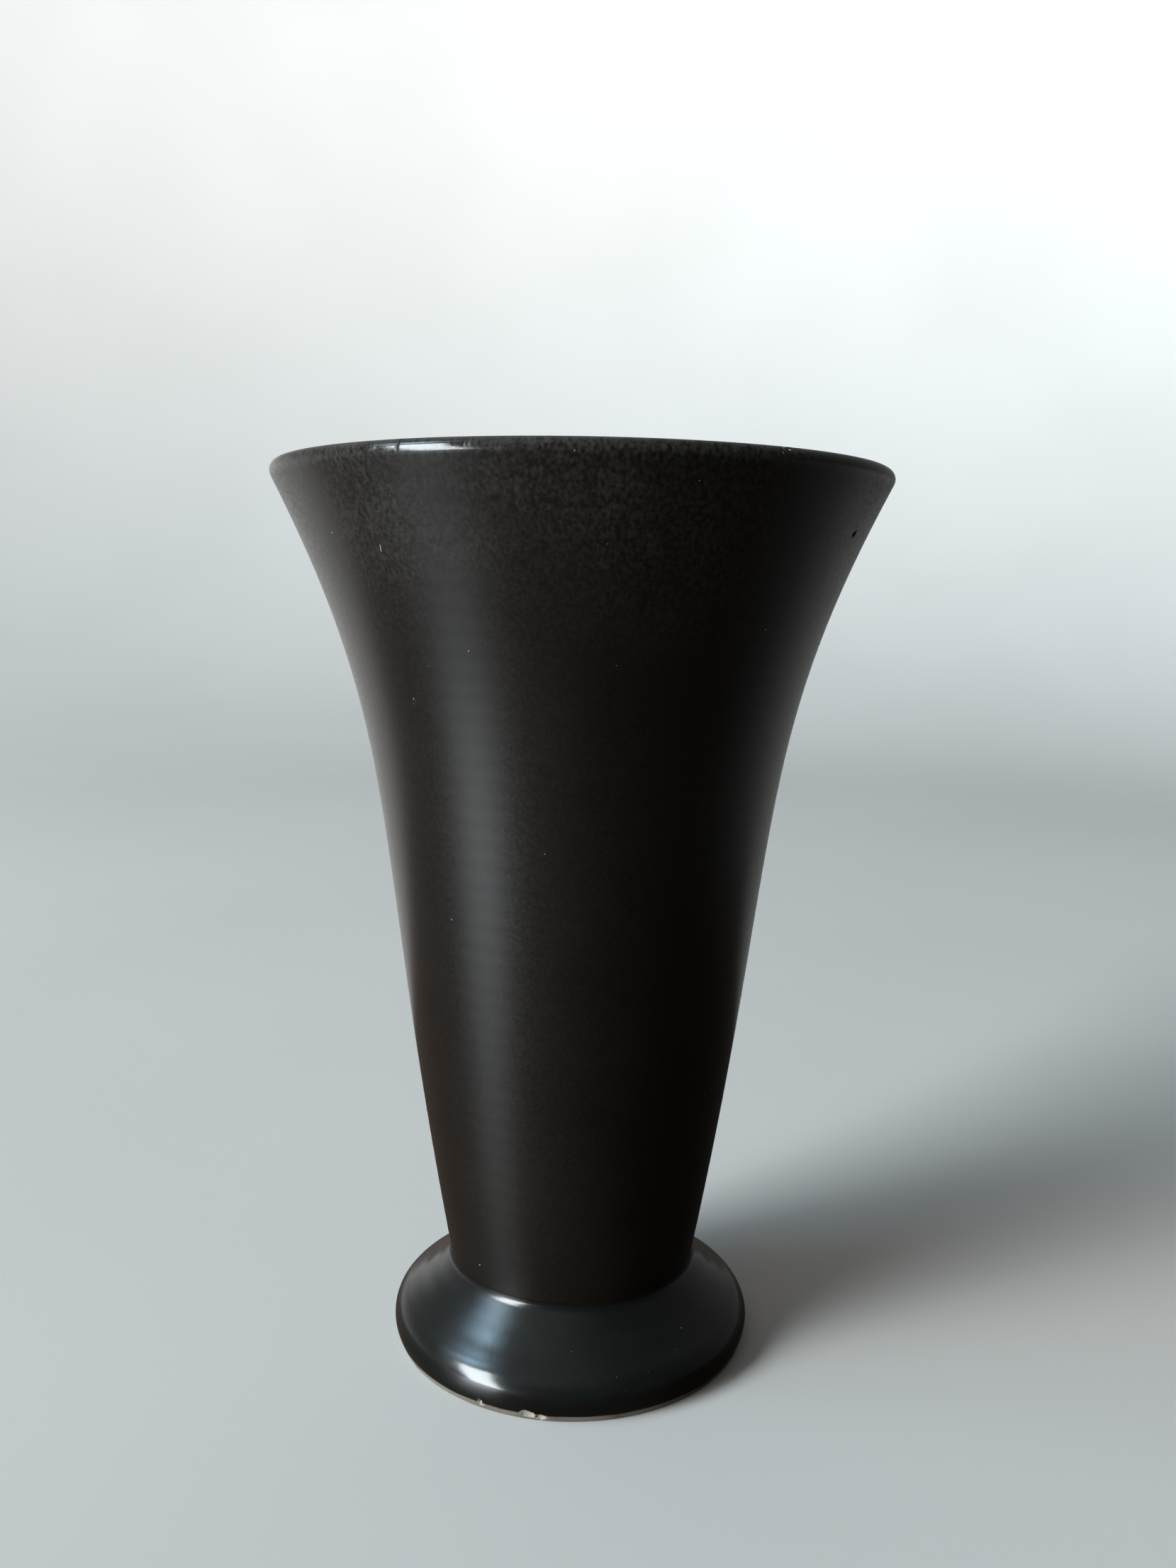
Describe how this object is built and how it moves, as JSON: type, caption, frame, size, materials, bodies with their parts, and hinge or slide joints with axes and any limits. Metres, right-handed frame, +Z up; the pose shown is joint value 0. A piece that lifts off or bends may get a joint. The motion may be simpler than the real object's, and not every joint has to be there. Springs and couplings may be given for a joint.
{
  "type": "footed vase",
  "caption": "Black-glazed ceramic vase: a flared trumpet beaker with a rounded lip on a low spreading pedestal foot, for holding flowers.",
  "frame": {"origin": "centre of the standing ring, on the surface that the vase stands on", "axes": "+Z up along the vase's axis, towards the lip; -Y is the side shown as the front"},
  "size_m": [0.1412, 0.1412, 0.21],
  "materials": {
    "beaker_clay": "fired cream earthenware, matt and slightly porous",
    "foot_clay": "fired cream earthenware, wiped bare at the standing ring",
    "joining_slip": "fired slip, matt",
    "black_satin_glaze": "satin brown-black glaze, finely mottled, greyer towards the lip",
    "black_liner_glaze": "smooth black liner glaze, semi-gloss",
    "black_gloss_glaze": "glossy blue-black glaze"
  },
  "bodies": {
    "root": {"beaker_body": "beaker_clay", "pedestal_foot": "foot_clay", "luting_slip": "joining_slip", "body_glaze": "black_satin_glaze", "liner_glaze": "black_liner_glaze", "foot_glaze": "black_gloss_glaze"}
  },
  "joints": []
}
